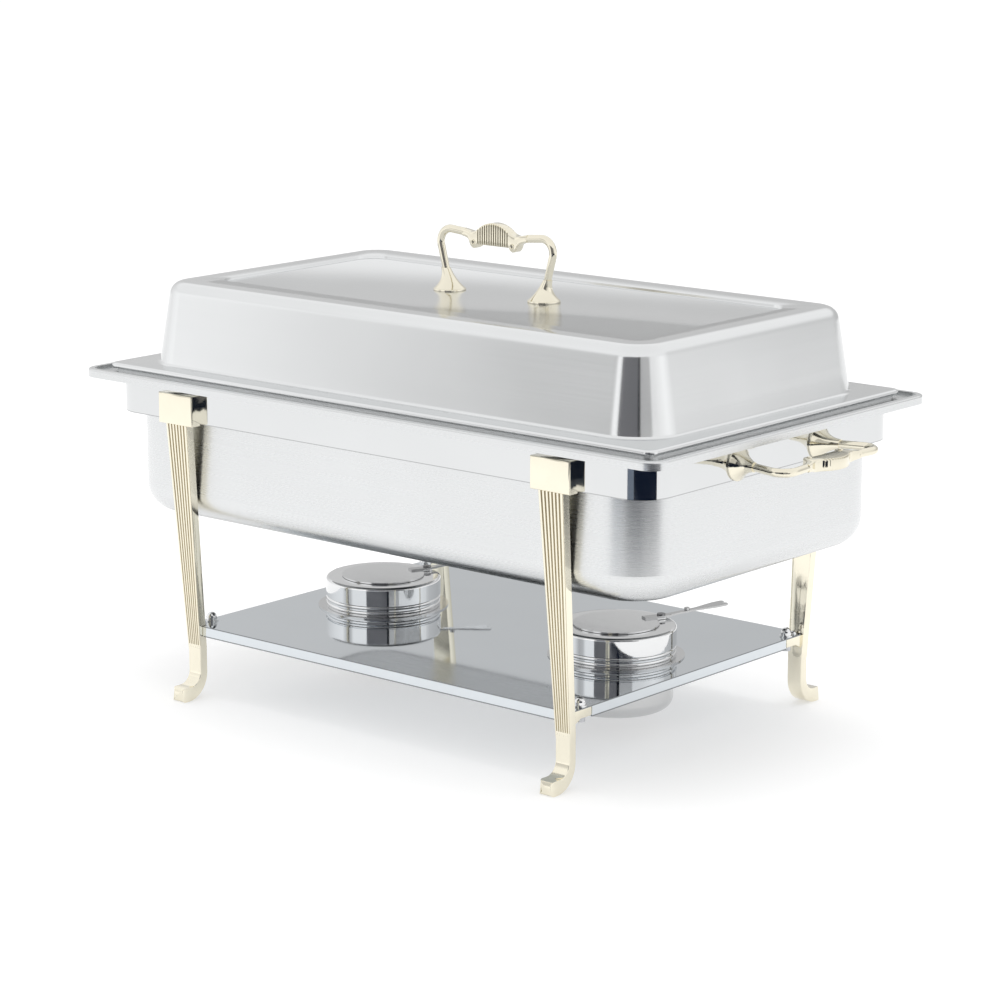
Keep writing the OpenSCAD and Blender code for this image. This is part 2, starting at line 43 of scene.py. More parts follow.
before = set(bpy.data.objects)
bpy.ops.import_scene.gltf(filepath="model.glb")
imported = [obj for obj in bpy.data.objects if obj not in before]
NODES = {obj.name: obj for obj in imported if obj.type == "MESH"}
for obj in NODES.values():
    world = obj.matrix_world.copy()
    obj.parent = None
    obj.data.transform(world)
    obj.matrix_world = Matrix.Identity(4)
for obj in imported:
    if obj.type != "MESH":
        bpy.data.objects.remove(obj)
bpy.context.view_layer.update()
MM = 0.001
# How close a point has to be to count as on a plane.
NEAR = 0.01 * MM


# ---------- values a user would change ----------


class ChaferFinish(bpy.types.PropertyGroup):
    """Colours of the metals."""

    steel: bpy.props.FloatVectorProperty(
        name="Steel", description="Base colour of the stainless sheet",
        subtype="COLOR", size=3, min=0, max=1, default=(0.735, 0.745, 0.75))
    shelf_steel: bpy.props.FloatVectorProperty(
        name="Shelf steel", description="Base colour of the mirror-bright shelf",
        subtype="COLOR", size=3, min=0, max=1, default=(0.66, 0.695, 0.725))
    chrome: bpy.props.FloatVectorProperty(
        name="Chrome", description="Base colour of the bright fuel holders and nuts",
        subtype="COLOR", size=3, min=0, max=1, default=(0.765, 0.77, 0.775))
    brass: bpy.props.FloatVectorProperty(
        name="Brass", description="Base colour of the polished pale brass castings",
        subtype="COLOR", size=3, min=0, max=1, default=(0.90, 0.85, 0.705))
    # Painted shade and dirt: the darker brass that the leg flutes take.
    groove: bpy.props.FloatVectorProperty(
        name="Grooves", description="Base colour of the brass in flutes and grooves",
        subtype="COLOR", size=3, min=0, max=1, default=(0.40, 0.33, 0.20))
    dull_steel: bpy.props.FloatVectorProperty(
        name="Dull steel", description="Base colour of the hidden plates and screws",
        subtype="COLOR", size=3, min=0, max=1, default=(0.52, 0.53, 0.55))


class ChaferStage(bpy.types.PropertyGroup):
    """Where the camera stands, where it looks and its lens."""

    azimuth: bpy.props.FloatProperty(
        name="Azimuth", description="Direction of the camera from the front",
        subtype="ANGLE", default=math.radians(40.33))
    elevation: bpy.props.FloatProperty(
        name="Elevation", description="Height of the camera above its target",
        subtype="ANGLE", default=math.radians(12.39))
    distance: bpy.props.FloatProperty(
        name="Distance", description="From the camera to its target",
        unit="LENGTH", default=2.6791)
    target_height: bpy.props.FloatProperty(
        name="Target height", description="Height of the point the camera looks at",
        unit="LENGTH", default=0.1785)
    lens: bpy.props.FloatProperty(
        name="Lens", description="Focal length in millimetres", default=116.3)


# ---------- selection and modelling helpers ----------


def clear_selection():
    """Leaves edit mode with nothing selected."""
    if bpy.context.mode != "OBJECT":
        bpy.ops.object.mode_set(mode="OBJECT")
    bpy.ops.object.select_all(action="DESELECT")


def start(name, add, **options):
    """Adds a primitive as a new object and enters edit mode with all of it selected."""
    clear_selection()
    add(**options)
    piece = bpy.context.object
    piece.name = name
    piece.data.name = name
    bpy.ops.object.transform_apply(location=True, rotation=True, scale=True)
    bpy.ops.object.mode_set(mode="EDIT")
    bpy.ops.mesh.select_mode(type="VERT")
    bpy.ops.mesh.select_all(action="SELECT")
    return piece


def pick(piece, kind, test):
    """Selects in edit mode the vertices, edges or faces that pass the test, and nothing else."""
    bpy.ops.mesh.select_mode(type={"verts": "VERT", "edges": "EDGE", "faces": "FACE"}[kind])
    bpy.ops.mesh.select_all(action="DESELECT")
    bm = bmesh.from_edit_mesh(piece.data)
    count = 0
    for part in getattr(bm, kind):
        if test(part):
            part.select_set(True)
            count += 1
    bm.select_flush_mode()
    bmesh.update_edit_mesh(piece.data)
    if not count:
        raise RuntimeError(f"{piece.name}: nothing passed the selection of {kind}")


def middle(part):
    """Middle of an edge or a face."""
    return sum((v.co for v in part.verts), Vector()) / len(part.verts)


def extrude(move=(0, 0, 0)):
    """Extrudes the selected region and moves its end."""
    bpy.ops.mesh.extrude_region_move(TRANSFORM_OT_translate={"value": move})


def shift(move):
    """Moves what is selected."""
    bpy.ops.transform.translate(value=move)


def grow(factors, centre):
    """Resizes what is selected about a centre."""
    bpy.ops.transform.resize(value=factors, center_override=centre)


def end_groups(piece, names):
    """Marks the selected section's vertices with vertex groups, by tests on their place."""
    bm = bmesh.from_edit_mesh(piece.data)
    layer = bm.verts.layers.deform.verify()
    for name, test in names.items():
        index = piece.vertex_groups.new(name=name).index
        for v in bm.verts:
            if v.select and test(v.co):
                v[layer][index] = 1
    bmesh.update_edit_mesh(piece.data)


def next_section(piece, moves, factors=None, centre=None):
    """Extrudes the selected section, moves each group of its end and resizes the end."""
    bpy.ops.mesh.select_mode(type="FACE")
    extrude()
    bm = bmesh.from_edit_mesh(piece.data)
    end = [v.index for v in bm.verts if v.select]
    bpy.ops.mesh.select_mode(type="VERT")
    for name, move in moves.items():
        index = piece.vertex_groups[name].index
        bm = bmesh.from_edit_mesh(piece.data)
        bm.verts.ensure_lookup_table()
        layer = bm.verts.layers.deform.verify()
        for v in bm.verts:
            v.select_set(False)
        for k in end:
            bm.verts[k].select_set(index in bm.verts[k][layer])
        bmesh.update_edit_mesh(piece.data)
        shift(move)
    bm = bmesh.from_edit_mesh(piece.data)
    bm.verts.ensure_lookup_table()
    for k in end:
        bm.verts[k].select_set(True)
    bm.select_flush(True)
    bmesh.update_edit_mesh(piece.data)
    if factors:
        grow(factors, centre)


def finish_mesh(piece, angle=35.0, merge=0.00001, outward=True):
    """Merges doubles, turns the faces outwards and smooths all but the sharp edges."""
    if bpy.context.mode != "EDIT_MESH":
        clear_selection()
        piece.select_set(True)
        bpy.context.view_layer.objects.active = piece
        bpy.ops.object.mode_set(mode="EDIT")
    bpy.ops.mesh.select_mode(type="VERT")
    bpy.ops.mesh.select_all(action="SELECT")
    bpy.ops.mesh.remove_doubles(threshold=merge)
    if outward:
        bpy.ops.mesh.normals_make_consistent(inside=False)
    clear_selection()
    piece.select_set(True)
    bpy.context.view_layer.objects.active = piece
    bpy.ops.object.shade_smooth_by_angle(angle=math.radians(angle))


def add_modifier(piece, kind, **values):
    """Adds a modifier, sets it and applies it."""
    clear_selection()
    piece.select_set(True)
    bpy.context.view_layer.objects.active = piece
    made = piece.modifiers.new(kind.lower(), kind)
    for key, value in values.items():
        setattr(made, key, value)
    bpy.ops.object.modifier_apply(modifier=made.name)


def join(name, pieces):
    """Joins pieces into the first one."""
    clear_selection()
    for piece in pieces:
        piece.select_set(True)
    bpy.context.view_layer.objects.active = pieces[0]
    bpy.ops.object.join()
    pieces[0].name = name
    return pieces[0]


def copy_piece(piece, name):
    """A copy with its own mesh."""
    clear_selection()
    piece.select_set(True)
    bpy.context.view_layer.objects.active = piece
    bpy.ops.object.duplicate(linked=False)
    made = bpy.context.object
    made.name = name
    return made


def place(piece, move=(0, 0, 0), turn=(0, 0, 0), flip=(1, 1, 1)):
    """Puts a piece at its place and leaves its object at the origin."""
    piece.location = move
    piece.rotation_euler = turn
    piece.scale = flip
    clear_selection()
    piece.select_set(True)
    bpy.context.view_layer.objects.active = piece
    bpy.ops.object.transform_apply(location=True, rotation=True, scale=True)
    if flip[0] * flip[1] * flip[2] < 0:
        bpy.ops.object.mode_set(mode="EDIT")
        bpy.ops.mesh.select_all(action="SELECT")
        bpy.ops.mesh.normals_make_consistent(inside=False)
        bpy.ops.object.mode_set(mode="OBJECT")


def coat(piece, *materials):
    """Gives a part its materials, before any of its faces takes the second one."""
    for material in materials:
        piece.data.materials.append(material)
    return piece


def mark_faces(piece, test):
    """Gives the faces that pass the test the part's second material."""
    count = 0
    for face in piece.data.polygons:
        if test(face):
            face.material_index = 1
            count += 1
    if not count:
        raise RuntimeError(f"{piece.name}: no face takes the second material")


def settle(piece, body, slot_name, *nodes):
    """Gives a finished piece its body and hides the nodes it stands for; its slot name is not
    used.
    """
    piece.vertex_groups.clear()
    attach(piece, body)
    if nodes:
        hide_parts(*nodes)


# ---------- materials ----------


class Finish:
    """A new material and short ways to add and link its nodes."""

    def __init__(self, name, colour, roughness):
        self.material = bpy.data.materials.new(name)
        self.material.use_nodes = True
        self.tree = self.material.node_tree
        self.shader = self.tree.nodes["Principled BSDF"]
        self.shader.inputs["Base Color"].default_value = (*colour, 1)
        self.shader.inputs["Metallic"].default_value = 1
        self.shader.inputs["Roughness"].default_value = roughness
        self.place = self.tree.nodes.new("ShaderNodeTexCoord").outputs["Object"]

    def node(self, kind, **inputs):
        """Adds a node; each named input is a value or another node's output."""
        made = self.tree.nodes.new(kind)
        for key, value in inputs.items():
            numbered = key[0] == "i" and key[1:].isdigit()
            socket = made.inputs[int(key[1:]) if numbered else key]
            if isinstance(value, bpy.types.NodeSocket):
                self.tree.links.new(value, socket)
            else:
                socket.default_value = value
        return made

    def noise(self, stretch, detail=3.0, rough=0.55):
        """Noise on object coordinates, stretched by three scales per metre."""
        turned = self.node("ShaderNodeMapping", Vector=self.place, Scale=stretch)
        return self.node("ShaderNodeTexNoise", Vector=turned.outputs["Vector"], Scale=1.0,
                         Detail=detail, Roughness=rough).outputs["Fac"]

    def spread(self, value, low, high, start=0.3, end=0.7):
        """Maps a noise value to a range."""
        made = self.node("ShaderNodeMapRange", i0=value, i1=start, i2=end, i3=low, i4=high)
        return made.outputs["Result"]

    def blend_value(self, factor, a, b):
        """Mixes two values by a factor."""
        made = self.tree.nodes.new("ShaderNodeMix")
        self.tree.links.new(factor, made.inputs[0])
        self.tree.links.new(a, made.inputs[2])
        self.tree.links.new(b, made.inputs[3])
        return made.outputs[0]

    def facing_up(self):
        """0 on upright walls and 1 on level faces."""
        normal = self.node("ShaderNodeNewGeometry").outputs["Normal"]
        split = self.node("ShaderNodeSeparateXYZ", Vector=normal)
        return self.node_math("ABSOLUTE", split.outputs["Z"])

    def node_math(self, operation, a, b=None):
        """One Math node on numbers or other nodes' outputs."""
        made = self.tree.nodes.new("ShaderNodeMath")
        made.operation = operation
        for k, value in enumerate((a, b)):
            if isinstance(value, bpy.types.NodeSocket):
                self.tree.links.new(value, made.inputs[k])
            elif value is not None:
                made.inputs[k].default_value = value
        return made.outputs[0]

    def height(self):
        """Height above the floor, in metres."""
        return self.node("ShaderNodeSeparateXYZ", Vector=self.place).outputs["Z"]

    def paint_shade_below(self, height, fade, share):
        """Dims the base colour under a height, down to a share of itself, as painted shade."""
        self.dim(self.spread(self.height(), share, 1.0, height - fade, height))

    def paint_edge_shade(self, low, high, line, share):
        """Dims a thin line along the lower and the upper edge of upright faces, as painted shade.
        """
        bottom = self.spread(self.height(), share, 1.0, low + 0.6 * line, low + line)
        top = self.spread(self.height(), 1.0, share, high - line, high - 0.6 * line)
        both = self.node_math("MINIMUM", bottom, top)
        self.dim(self.node_math("MAXIMUM", both, self.facing_up()))

    def dim(self, level):
        """Multiplies the base colour by a level."""
        dimmed = self.tree.nodes.new("ShaderNodeVectorMath")
        dimmed.operation = "SCALE"
        base = self.shader.inputs["Base Color"]
        self.tree.links.new(base.links[0].from_socket, dimmed.inputs["Vector"])
        self.tree.links.new(level, dimmed.inputs["Scale"])
        self.tree.links.new(dimmed.outputs["Vector"], base)

    def tint(self, factor, dark, light):
        """Base colour between two tones."""
        mix = self.tree.nodes.new("ShaderNodeMix")
        mix.data_type = "RGBA"
        self.tree.links.new(factor, mix.inputs[0])
        mix.inputs[6].default_value = (*dark, 1)
        mix.inputs[7].default_value = (*light, 1)
        self.tree.links.new(mix.outputs[2], self.shader.inputs["Base Color"])

    def rough(self, value):
        """Links the roughness."""
        self.tree.links.new(value, self.shader.inputs["Roughness"])

    def bump(self, height, strength, distance):
        """Adds bump from a height."""
        made = self.node("ShaderNodeBump", Height=height, Strength=strength, Distance=distance)
        self.tree.links.new(made.outputs["Normal"], self.shader.inputs["Normal"])


def scaled(colour, factor):
    """A lighter or darker version of a colour."""
    return tuple(min(1.0, c * factor) for c in colour)


# How far up the painted shade on the lower part of a pan fades out, and how much of its colour is
# left there.
SHADE_FADE = 5 * MM
SHADE_SHARE = 0.45
# How much the polishing lines and the slow clouds each count in the roughness.
LINE_WEIGHT = 0.6
CLOUD_WEIGHT = 0.4
LINE_BUMP = 0.2 * MM
RIPPLE_BUMP = 1 * MM


def sheet_metal(name, colour, low, high, line_depth, line_count=900.0, variation=0.04,
                shade_below=None, edges=None):
    """Rolled sheet with fine polishing lines: level on the walls, lengthwise on top."""
    finish = Finish(name, colour, (low + high) / 2)
    up = finish.facing_up()
    wall_lines = finish.noise((3.0, 3.0, line_count), 4.0)
    top_lines = finish.noise((3.0, line_count, 3.0), 4.0)
    lines = finish.blend_value(up, wall_lines, top_lines)
    clouds = finish.noise((9.0, 9.0, 9.0), 2.0)
    finish.tint(clouds, scaled(colour, 1 - variation), scaled(colour, 1 + variation))
    # Painted shade below a height, when one is given.
    if shade_below is not None:
        finish.paint_shade_below(shade_below, SHADE_FADE, SHADE_SHARE)
    # Painted shade lines along the lower and upper edges, when they are given.
    if edges is not None:
        finish.paint_edge_shade(*edges)
    finish.rough(finish.spread(finish.node_math(
        "ADD", finish.node_math("MULTIPLY", lines, LINE_WEIGHT),
        finish.node_math("MULTIPLY", clouds, CLOUD_WEIGHT)), low, high))
    finish.bump(lines, line_depth, LINE_BUMP)
    return finish.material


def cast_metal(name, colour, low, high, ripple):
    """Polished casting: slow ripple left by the buffing wheel, and faint wear."""
    finish = Finish(name, colour, (low + high) / 2)
    slow = finish.noise((60.0, 60.0, 60.0), 2.0)
    fine = finish.noise((900.0, 900.0, 900.0), 3.0)
    finish.tint(slow, scaled(colour, 0.95), scaled(colour, 1.03))
    finish.rough(finish.spread(fine, low, high))
    finish.bump(slow, ripple, RIPPLE_BUMP)
    return finish.material


def dress(material, *names):
    """Gives kept CAD nodes a material."""
    for name in names:
        mesh = NODES[name].data
        mesh.materials.clear()
        mesh.materials.append(material)


# ---------- legs ----------

LEG_X = 199.6 * MM
LEG_Z = 236.4 * MM
LEG_TOP = (24 * MM, 8 * MM)
LEG_OUT = (173 * MM, 157 * MM)
FLUTE_END = 46 * MM
FOOT_START = 40 * MM
TOE_OUT = 176.9 * MM
TOE_HEIGHT = 12 * MM
HEEL_RADIUS = 22 * MM
INSTEP_RADIUS = 11 * MM
FLUTES = 6
# Where across a flute its points lie, and how deep they are in millimetres.
FLUTE_POINTS = ((0.25, 0.6), (0.5, 0.8), (0.75, 0.6))
SHAFT_EDGE = 0.7 * MM
FOOT_WIDTH = 13.6 * MM
# How much wider than the foot the shaft is where the flutes stop.
FOOT_SHOULDER = 0.8 * MM
# Height over which the flutes run out, and again over which the shoulder narrows.
RUN_OUT = 3 * MM
SWEEP_STEPS = 9
# The last sections before the toe's end: distance from it, and size.
TOE_CLOSING = ((2.4 * MM, 1.0), (0.7 * MM, 0.9), (0.0, 0.68))
# Width, depth and height of the block, the face it stands on, and its eased edges.
BLOCK = (38.6 * MM, 9.8 * MM, 25.8 * MM)
BAND_FACE = 164.4 * MM
BLOCK_FACE_EDGE = 1.5 * MM
BLOCK_SIDE_EDGE = 0.5 * MM
# Heights of the lug, its width and depth, its middle, and the nose that runs on from it.
LUG_TOP = 61.4 * MM
LUG_LOW = 54.4 * MM
LUG_SIZE = (12 * MM, 13 * MM)
LUG_MIDDLE = 135.5 * MM
LUG_REACH = 10 * MM
LUG_DROP = 5 * MM


def leg_shaft(metals):
    """Fluted shaft and curved foot of one leg, on the +X and +Y corner, about x = 0."""
    width, thick = LEG_TOP
    leg = start("leg", bpy.ops.mesh.primitive_plane_add, size=1)
    grow((width, thick, 1), (0, 0, 0))
    shift((0, LEG_OUT[0] - thick / 2, LEG_Z))
    bpy.ops.mesh.bevel(offset=SHAFT_EDGE, segments=3, affect="VERTICES")
    pick(leg, "edges", lambda e: min(v.co.y for v in e.verts) > LEG_OUT[0] - NEAR)
    strips = 2 * FLUTES + 1
    bpy.ops.mesh.subdivide(number_cuts=4 * strips - 1, ngon=True)
    strip = (width - 2 * SHAFT_EDGE) / strips
    for share, depth in FLUTE_POINTS:
        spots = [(k - strips / 2 + share) * strip for k in range(1, strips, 2)]
        pick(leg, "verts", lambda v: v.co.y > LEG_OUT[0] - NEAR and any(
            abs(v.co.x - spot) < 2 * NEAR for spot in spots))
        shift((0, -depth * MM, 0))
    bpy.ops.mesh.select_all(action="SELECT")
    centre = LEG_OUT[0] - thick / 2
    end_groups(leg, {"outer": lambda p: p.y > centre, "inner": lambda p: p.y <= centre})
    lean = (LEG_OUT[0] - LEG_OUT[1]) / (LEG_Z - FOOT_START)
    drop = LEG_Z - FLUTE_END
    go = Vector((0, -lean * drop, -drop))
    at_end = FOOT_WIDTH + FOOT_SHOULDER
    next_section(leg, {"outer": go, "inner": go}, (at_end / width, 1, 1), (0, 0, 0))
    # The flutes run out just above the foot.
    outer = LEG_OUT[0] - lean * drop
    go = Vector((0, -lean * RUN_OUT, -RUN_OUT))
    next_section(leg, {"outer": go, "inner": go})
    bpy.ops.mesh.select_mode(type="VERT")
    level = outer - lean * RUN_OUT
    flat_section(leg, level)
    go = Vector((0, -lean * RUN_OUT, -RUN_OUT))
    next_section(leg, {"outer": go, "inner": go}, (FOOT_WIDTH / at_end, 1, 1), (0, 0, 0))
    foot_sections(leg)
    finish_mesh(leg, 38)

    def face_at(z):
        """How far out the outer face is at height z."""
        return LEG_OUT[1] + lean * (z - FOOT_START)

    coat(leg, *metals)
    # The flute faces take the second material: painted shade and dirt in the flutes.
    mark_faces(leg, lambda f: f.normal.y > 0.3 and f.center.z > FLUTE_END and
               f.center.y < face_at(f.center.z) - 0.2 * MM)
    return leg


def flat_section(leg, level):
    """Brings the groove points of the selected section up to its face."""
    bm = bmesh.from_edit_mesh(leg.data)
    near = [v for v in bm.verts if v.select and level - 0.95 * MM < v.co.y < level - 0.4 * MM and
            abs(v.co.x) < 6.4 * MM]
    chosen = [v for v in bm.verts if v.select]
    depth = {}
    for v in near:
        depth.setdefault(round(level - v.co.y, 6), []).append(v.index)
    keep = [v.index for v in chosen]
    for d, group in depth.items():
        bm = bmesh.from_edit_mesh(leg.data)
        bm.verts.ensure_lookup_table()
        for v in bm.verts:
            v.select_set(v.index in group)
        bmesh.update_edit_mesh(leg.data)
        shift((0, d, 0))
    bm = bmesh.from_edit_mesh(leg.data)
    bm.verts.ensure_lookup_table()
    for v in bm.verts:
        v.select_set(False)
    for k in keep:
        bm.verts[k].select_set(True)
    bm.select_flush(True)
    bmesh.update_edit_mesh(leg.data)


def foot_sections(leg):
    """Sweeps the foot out from the heel to the toe, thicker as it goes."""
    inside = LEG_OUT[1] - LEG_TOP[1]
    heel = Vector((0, inside + HEEL_RADIUS, HEEL_RADIUS))
    instep = Vector((0, LEG_OUT[1] + INSTEP_RADIUS, TOE_HEIGHT + INSTEP_RADIUS))
    was_in = Vector((0, inside, FOOT_START))
    was_out = Vector((0, LEG_OUT[1], FOOT_START))
    for k in range(SWEEP_STEPS + 1):
        angle = math.pi + k / SWEEP_STEPS * math.pi / 2
        arm = Vector((0, math.cos(angle), math.sin(angle)))
        now_in = heel + HEEL_RADIUS * arm
        now_out = instep + INSTEP_RADIUS * arm
        next_section(leg, {"outer": now_out - was_out, "inner": now_in - was_in})
        was_in, was_out = now_in, now_out
    half_toe = TOE_HEIGHT / 2
    size = 1.0
    for short, left in TOE_CLOSING:
        reach = TOE_OUT - short
        now_in = Vector((0, reach, half_toe * (1 - size)))
        now_out = Vector((0, reach, half_toe * (1 + size)))
        next_section(leg, {"outer": now_out - was_out, "inner": now_in - was_in})
        grow((left / size, 1, left / size), (0, reach, half_toe))
        size = left
        was_in = Vector((0, reach, half_toe * (1 - size)))
        was_out = Vector((0, reach, half_toe * (1 + size)))


def leg_block():
    """Square block that clamps the band, with a broad eased edge on its face."""
    width, depth, height = BLOCK
    block = start("block", bpy.ops.mesh.primitive_cube_add, size=1)
    grow((width, depth, height), (0, 0, 0))
    shift((0, BAND_FACE + depth / 2, LEG_Z + height / 2))
    pick(block, "edges", lambda e: min(v.co.y for v in e.verts) > BAND_FACE + depth / 2)
    bpy.ops.mesh.bevel(offset=BLOCK_FACE_EDGE, segments=5)
    pick(block, "edges", lambda e: abs(e.verts[0].co.y - e.verts[1].co.y) > depth / 2)
    bpy.ops.mesh.bevel(offset=BLOCK_SIDE_EDGE, segments=2)
    finish_mesh(block, 50)
    return block


def leg_lug():
    """Lug that carries the shelf corner."""
    end = LUG_MIDDLE + LUG_SIZE[1] / 2
    lug = start("lug", bpy.ops.mesh.primitive_cube_add, size=1)
    grow((*LUG_SIZE, LUG_TOP - LUG_LOW), (0, 0, 0))
    shift((0, LUG_MIDDLE, (LUG_TOP + LUG_LOW) / 2))
    pick(lug, "faces", lambda f: middle(f).y > end - NEAR)
    extrude((0, LUG_REACH, 0))
    pick(lug, "edges", lambda e: middle(e).z < LUG_LOW + NEAR and
         min(v.co.y for v in e.verts) > end + LUG_REACH - NEAR)
    shift((0, 0, -LUG_DROP))
    pick(lug, "edges", lambda e: middle(e).z < LUG_TOP - 0.5 * MM)
    bpy.ops.mesh.bevel(offset=0.8 * MM, segments=2)
    finish_mesh(lug, 40)
    return lug


class CHAFER_OT_legs(bpy.types.Operator):
    """Model one leg casting and copy it to the four corners"""

    bl_idname = "chafer.legs"
    bl_label = "Legs"

    def execute(self, context):
        look = context.scene.chafer_finish
        brass = tuple(look.brass)
        # The second brass is darker: painted shade and dirt for the flutes.
        metals = (cast_metal("leg_pale_brass", scaled(brass, 0.98), 0.06, 0.12, 0.06),
                  cast_metal("leg_flute_brass", look.groove, 0.26, 0.40, 0.04))
        model = join("leg_casting", [
            leg_shaft(metals), coat(leg_block(), *metals), coat(leg_lug(), *metals)])
        for end, sx in (("right", 1), ("left", -1)):
            for side, sy in (("rear", 1), ("front", -1)):
                leg = copy_piece(model, f"leg_casting_{side}_{end}")
                place(leg, (sx * LEG_X, 0, 0), (0, 0, 0), (sx, sy, 1))
                settle(leg, "stand", "leg_brass", f"leg_{side}_{end}")
        bpy.data.objects.remove(model)
        return {"FINISHED"}


# ---------- handles ----------

COVER_SPAN = 101 * MM
END_SPAN = 106 * MM
# The faces the handles stand on, and the height of the end handles.
PANEL_Z = 343.5 * MM
BAND_END = 284.9 * MM
END_HEIGHT = 250.6 * MM
FOOT_RADIUS = 13.6 * MM
# Radius and height of the foot's lowest rings, in millimetres.
FOOT_RINGS = ((13.6, 0.55), (13.6, 1.2), (13.4, 1.55), (13.0, 1.8))
# The hollow flare above them: centre, radius, first angle, turn per ring, rings and neck.
FLARE_CENTRE = (27.8, 20.8)
FLARE_RADIUS = 24.0
FLARE_START = 232
FLARE_TURN = 3.3
FLARE_RINGS = 15
FLARE_NECK = 3.2
# Top of the painted shade at the foot's base, a dark step where the foot meets the face it stands
# on.
SHADED_STEP_TOP = 0.5 * MM
# Outward lean of the flare, which grows with the square of its height.
FOOT_LEAN = 0.0125
BAR_RADIUS = 3.3 * MM
BEND_RADIUS = 11.2 * MM
BEND_HEIGHT = 40 * MM
BEND_OUT = -1.8 * MM
ARM_LEAN = math.radians(15)
BAR_DROOP = math.radians(5)
# Length of the arm's straight part, which ends inside the foot.
ARM_DEPTH = 25 * MM
# The arm's section: how flat it is, how far the ridges stand out, and its size at the foot.
ARM_FLAT = 0.94
ARM_RIDGE = 1.13
ARM_FOOT_SIZE = 0.96
# The bar reaches inwards by half the span less this.
BAR_INNER = 36 * MM
# Stations of the grip outward from its middle: x, underside, top, half thickness, in millimetres.
GRIP_STATIONS = (
    (17.2, 41.0, 53.3, 4.9), (18.4, 38.8, 52.6, 5.0), (20.3, 37.8, 51.9, 5.0),
    (22.2, 38.1, 51.4, 5.0), (23.8, 39.3, 51.2, 4.9), (25.0, 41.2, 51.2, 4.6),
    (25.9, 43.3, 51.4, 4.3), (27.6, 45.0, 51.8, 3.9), (30.4, 46.1, 52.4, 3.5),
    (34.5, 46.9, 53.0, 3.1),
)
RIB_PITCH = 2.4
RIB_COUNT = 7
RIB_CREST = (60.0, 25.6)
RIB_UNDERSIDE = 41.2
RIB_THICK = 4.9
GROOVE_THICK = 4.0
# One rib and its groove, as shares of the pitch and the half thickness there.
RIB_SHAPE = ((0.24, RIB_THICK), (0.36, GROOVE_THICK), (0.64, GROOVE_THICK),
             (0.76, RIB_THICK), (1.0, RIB_THICK))
# Where the painted shade and dirt of the grooves stops: outside their floor, and below the
# crest's middle, lower by the square of the distance along the grip.
GROOVE_MARGIN = 0.55
CREST_RIM = 3.2
CREST_CURVE = 0.0188
# Radius, length and place of the eye in a scroll.
EYE_RADIUS = 2.3 * MM
EYE_LENGTH = 11.4 * MM
EYE_AT = (20.6 * MM, 42.9 * MM)


def handle_foot(half, metals):
    """Flared foot with a fine step of painted shade above its base, turned up from a circle."""
    foot = start("foot", bpy.ops.mesh.primitive_circle_add, vertices=40, radius=FOOT_RADIUS,
                 fill_type="NGON")
    rings = list(FOOT_RINGS)
    for k in range(FLARE_RINGS):
        angle = math.radians(FLARE_START - k * FLARE_TURN)
        rings.append((FLARE_CENTRE[0] + FLARE_RADIUS * math.cos(angle),
                      FLARE_CENTRE[1] + FLARE_RADIUS * math.sin(angle)))
    rings = [r for r in rings if r[0] > FLARE_NECK]
    was = (FOOT_RINGS[0][0], 0.0)
    bpy.ops.mesh.select_mode(type="FACE")
    for radius, height in rings:
        if height <= was[1]:
            continue
        lean = FOOT_LEAN * (height ** 2 - was[1] ** 2)
        extrude((0, 0, (height - was[1]) * MM))
        grow((radius / was[0], radius / was[0], 1), (FOOT_LEAN * was[1] ** 2 * MM, 0, 0))
        shift((lean * MM, 0, 0))
        was = (radius, height)
    finish_mesh(foot, 40)
    coat(foot, *metals)
    # The faces of the lowest ring take the darker brass: painted shade where the foot meets its
    # face.
    mark_faces(foot, lambda f: NEAR < f.center.z < SHADED_STEP_TOP)
    place(foot, (half, 0, 0))
    return foot


def handle_arm(half, metals):
    """Round arm from the foot over the bend to the grip, with a slight ridge along its sides."""
    arm = start("arm", bpy.ops.mesh.primitive_circle_add, vertices=20, radius=BAR_RADIUS,
                fill_type="NGON")
    grow((1, ARM_FLAT, 1), (0, 0, 0))
    pick(arm, "verts", lambda v: abs(v.co.x) < 0.2 * MM)
    grow((1, ARM_RIDGE, 1), (0, 0, 0))
    pick(arm, "faces", lambda f: True)
    centre = (half + BEND_OUT, 0, BEND_HEIGHT)
    lean = math.sin(ARM_LEAN), math.cos(ARM_LEAN)
    bpy.ops.object.mode_set(mode="OBJECT")
    start_x = half + BEND_OUT + BEND_RADIUS * lean[1]
    start_z = BEND_HEIGHT - BEND_RADIUS * lean[0]
    place(arm, (start_x, 0, start_z), (0, ARM_LEAN, 0))
    bpy.context.view_layer.objects.active = arm
    arm.select_set(True)
    bpy.ops.object.mode_set(mode="EDIT")
    bpy.ops.mesh.select_mode(type="FACE")
    bpy.ops.mesh.select_all(action="SELECT")
    # The arm goes down into the foot, and the same section turns over the bend.
    extrude((-lean[0] * ARM_DEPTH, 0, -lean[1] * ARM_DEPTH))
    grow([ARM_FOOT_SIZE] * 3,
         (start_x - lean[0] * ARM_DEPTH, 0, start_z - lean[1] * ARM_DEPTH))
    pick(arm, "faces", lambda f: len(f.verts) > 10 and middle(f).z > start_z - 1 * MM)
    turn = ARM_LEAN + math.radians(90) + BAR_DROOP
    bpy.ops.mesh.spin(steps=16, angle=turn, center=centre, axis=(0, 1, 0))
    end = Vector((half + BEND_OUT - BEND_RADIUS * math.sin(BAR_DROOP), 0,
                  BEND_HEIGHT + BEND_RADIUS * math.cos(BAR_DROOP)))
    pick(arm, "faces", lambda f: len(f.verts) > 10 and (middle(f) - end).length < 1 * MM)
    reach = half - BAR_INNER
    for share in (0.5, 0.5):
        extrude((-reach * share * math.cos(BAR_DROOP), 0, -reach * share * math.sin(BAR_DROOP)))
    finish_mesh(arm, 60)
    return coat(arm, *metals)


